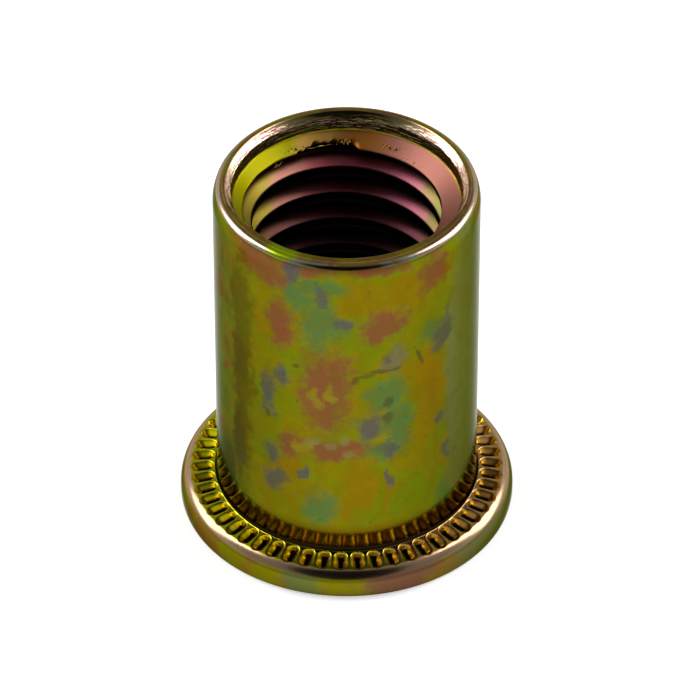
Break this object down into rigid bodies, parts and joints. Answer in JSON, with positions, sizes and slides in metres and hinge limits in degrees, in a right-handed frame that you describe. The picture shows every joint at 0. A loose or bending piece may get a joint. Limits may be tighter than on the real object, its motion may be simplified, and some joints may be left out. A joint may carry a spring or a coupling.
{
  "type": "rivet nut",
  "caption": "Flat-head rivet nut: an open threaded sleeve with a thin folding zone and a round flange serrated on its upper side.",
  "frame": {"origin": "centre of the flat head face that the nut stands on", "axes": "+Z along the thread's axis from the head face up to the tail end; +X and +Y any two directions across the round part"},
  "size_m": [0.0154, 0.0154, 0.0179],
  "materials": {
    "yellow_zinc_steel": "satin steel with an iridescent yellow chromate plating, from olive yellow-green to pink-brown, grey-violet and teal"
  },
  "bodies": {
    "root": {"rivet_nut": "yellow_zinc_steel"}
  },
  "joints": []
}
